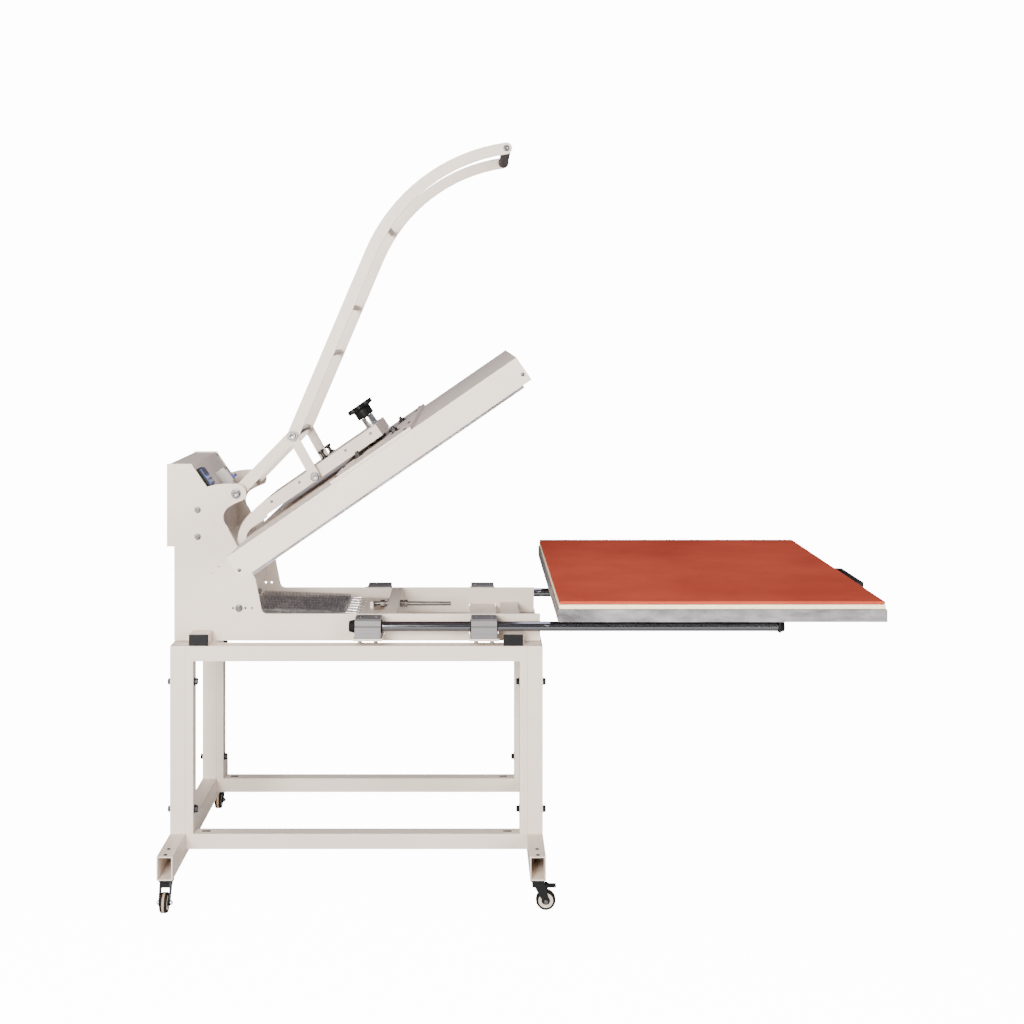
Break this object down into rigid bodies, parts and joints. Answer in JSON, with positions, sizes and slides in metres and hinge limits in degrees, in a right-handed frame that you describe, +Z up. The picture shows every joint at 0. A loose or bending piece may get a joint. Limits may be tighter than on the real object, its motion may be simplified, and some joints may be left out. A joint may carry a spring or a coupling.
{
  "type": "heat press",
  "caption": "Large-format clamshell heat press with a toggle handle, sprung carrier, pull-out padded lower table and wheeled tube stand.",
  "frame": {"origin": "centre of the bounding box in plan, on the floor", "axes": "+X towards the operator and the pulled-out table, +Z up"},
  "size_m": [1.8674, 1.05, 1.9537],
  "materials": {
    "cream_paint": "fine satin powder coat",
    "black_plastic": "satin",
    "breaker_grey": "satin",
    "toggle_blue": "gloss",
    "steel": "zinc plated",
    "spring_steel": "wire",
    "block_aluminium": "satin anodised",
    "plate_aluminium": "cloudy hand brushed",
    "chrome_shaft": "polished",
    "black_steel": "satin black",
    "caster_rubber": "matte",
    "felt": "felt",
    "red_silicone": "matte silicone",
    "grip_foam": "foam",
    "insulation": "blanket"
  },
  "bodies": {
    "frame": {"end_frame_rear": "cream_paint", "end_frame_front": "cream_paint", "side_frame_near": "cream_paint", "side_frame_far": "cream_paint", "side_plate_near": "cream_paint", "side_plate_far": "cream_paint", "base_cross_tube_rear": "cream_paint", "base_cross_tube_front": "cream_paint", "control_box": "cream_paint", "rear_cover": "cream_paint", "temperature_controller": "black_plastic", "circuit_breaker": "breaker_grey", "spring_beam": "cream_paint", "spring_carriage": "cream_paint", "tension_rod": "steel", "extension_springs": "spring_steel", "bearing_bracket_rear": "cream_paint", "bearing_bracket_front": "cream_paint", "bearing_block_rear_near": "block_aluminium", "bearing_block_rear_far": "block_aluminium", "bearing_block_front_near": "block_aluminium", "bearing_block_front_far": "block_aluminium", "handle_pivot_shaft": "steel"},
    "carrier": {"carrier_arm_near": "cream_paint", "carrier_arm_far": "cream_paint", "carrier_channel": "cream_paint", "carrier_pivot_shaft": "steel"},
    "platen": {"platen_cover": "cream_paint", "platen_insulation": "insulation", "heating_plate": "plate_aluminium", "platen_saddle": "cream_paint", "screw_nut": "steel"},
    "pressure_knob": {"pressure_knob": "black_plastic"},
    "handle": {"handle_arm_near": "cream_paint", "handle_arm_far": "cream_paint", "handle_grip": "grip_foam", "lever_shaft": "steel", "handle_crossbar": "cream_paint"},
    "links": {"link_near": "cream_paint", "link_far": "cream_paint"},
    "spring_bar": {"spring_bar": "steel"},
    "drawer": {"table_plate": "plate_aluminium", "table_felt": "felt", "silicone_pad": "red_silicone", "guide_shaft_near": "chrome_shaft", "guide_shaft_far": "chrome_shaft", "table_rail_near": "black_steel", "table_rail_far": "black_steel", "drawer_handle": "black_plastic"},
    "breaker_toggle": {"breaker_toggle": "toggle_blue"},
    "caster_swivel_rear_near": {"caster_fork_rear_near": "black_steel"},
    "caster_wheel_rear_near": {"caster_wheel_rear_near": "caster_rubber"},
    "caster_swivel_rear_far": {"caster_fork_rear_far": "black_steel"},
    "caster_wheel_rear_far": {"caster_wheel_rear_far": "caster_rubber"},
    "caster_swivel_front_near": {"caster_fork_front_near": "black_steel"},
    "caster_wheel_front_near": {"caster_wheel_front_near": "caster_rubber"},
    "caster_swivel_front_far": {"caster_fork_front_far": "black_steel"},
    "caster_wheel_front_far": {"caster_wheel_front_far": "caster_rubber"},
    "brake_pedal_front_near": {"brake_pedal_front_near": "black_plastic"},
    "brake_pedal_front_far": {"brake_pedal_front_far": "black_plastic"}
  },
  "joints": [
    {"name": "platen_lift", "type": "hinge", "parent": "frame", "child": "carrier", "pos_m": [-0.75265, 0, 0.814], "axis": [0, 1, 0], "range_deg": [0, 34.6], "stiffness_Nm_per_rad": 320, "springref_deg": -108.86},
    {"name": "platen_press", "type": "slide", "parent": "carrier", "child": "platen", "axis": [-0.5678, 0, 0.8231], "range_m": [0, 0.008]},
    {"name": "pressure_knob_turn", "type": "hinge", "parent": "carrier", "child": "pressure_knob", "pos_m": [-0.33944, 0, 1.09906], "axis": [-0.5678, 0, 0.8231], "range_deg": [0, 720.1]},
    {"name": "handle_swing", "type": "hinge", "parent": "frame", "child": "handle", "pos_m": [-0.75005, 0, 1.021], "axis": [0, 1, 0], "range_deg": [0, 61.71]},
    {"name": "link_swing", "type": "hinge", "parent": "handle", "child": "links", "pos_m": [-0.60245, 0, 1.173], "axis": [0, 1, 0], "range_deg": [-93.19, 0]},
    {"name": "spring_bar_slide", "type": "slide", "parent": "frame", "child": "spring_bar", "axis": [-0.9839, 0, 0.179], "range_m": [0, 0.06832], "deforming": ["extension_springs"]},
    {"name": "drawer_slide", "type": "slide", "parent": "frame", "child": "drawer", "axis": [1, 0, 0], "range_m": [-0.73, 0]},
    {"name": "breaker_toggle_flip", "type": "hinge", "parent": "frame", "child": "breaker_toggle", "pos_m": [-0.7924, 0.018, 1.04528], "axis": [0, 1, 0], "range_deg": [-30, 0]},
    {"name": "caster_swivel_rear_near", "type": "hinge", "parent": "frame", "child": "caster_swivel_rear_near", "pos_m": [-0.89365, -0.382, 0.079], "axis": [0, 0, 1], "continuous": true},
    {"name": "caster_wheel_spin_rear_near", "type": "hinge", "parent": "caster_swivel_rear_near", "child": "caster_wheel_rear_near", "pos_m": [-0.89365, -0.402, 0.025], "axis": [1, 0, 0], "continuous": true},
    {"name": "caster_swivel_rear_far", "type": "hinge", "parent": "frame", "child": "caster_swivel_rear_far", "pos_m": [-0.89365, 0.382, 0.079], "axis": [0, 0, 1], "continuous": true},
    {"name": "caster_wheel_spin_rear_far", "type": "hinge", "parent": "caster_swivel_rear_far", "child": "caster_wheel_rear_far", "pos_m": [-0.89365, 0.362, 0.025], "axis": [1, 0, 0], "continuous": true},
    {"name": "caster_swivel_front_near", "type": "hinge", "parent": "frame", "child": "caster_swivel_front_near", "pos_m": [0.03935, -0.382, 0.079], "axis": [0, 0, 1], "continuous": true},
    {"name": "caster_wheel_spin_front_near", "type": "hinge", "parent": "caster_swivel_front_near", "child": "caster_wheel_front_near", "pos_m": [0.05935, -0.382, 0.025], "axis": [0, 1, 0], "continuous": true},
    {"name": "brake_pedal_press_front_near", "type": "hinge", "parent": "caster_swivel_front_near", "child": "brake_pedal_front_near", "pos_m": [0.06135, -0.382, 0.061], "axis": [0, 1, 0], "range_deg": [0, 10]},
    {"name": "caster_swivel_front_far", "type": "hinge", "parent": "frame", "child": "caster_swivel_front_far", "pos_m": [0.03935, 0.382, 0.079], "axis": [0, 0, 1], "continuous": true},
    {"name": "caster_wheel_spin_front_far", "type": "hinge", "parent": "caster_swivel_front_far", "child": "caster_wheel_front_far", "pos_m": [0.05935, 0.382, 0.025], "axis": [0, 1, 0], "continuous": true},
    {"name": "brake_pedal_press_front_far", "type": "hinge", "parent": "caster_swivel_front_far", "child": "brake_pedal_front_far", "pos_m": [0.06135, 0.382, 0.061], "axis": [0, 1, 0], "range_deg": [0, 10]}
  ],
  "couplings": [
    {"joint": "handle_swing", "follows": "platen_lift", "ratio": 1.7832},
    {"joint": "link_swing", "follows": "platen_lift", "ratio": -2.6931},
    {"joint": "spring_bar_slide", "follows": "platen_lift", "m_per_rad": 0.1131},
    {"joint": "pressure_knob_turn", "follows": "platen_press", "rad_per_m": 1570.8}
  ]
}
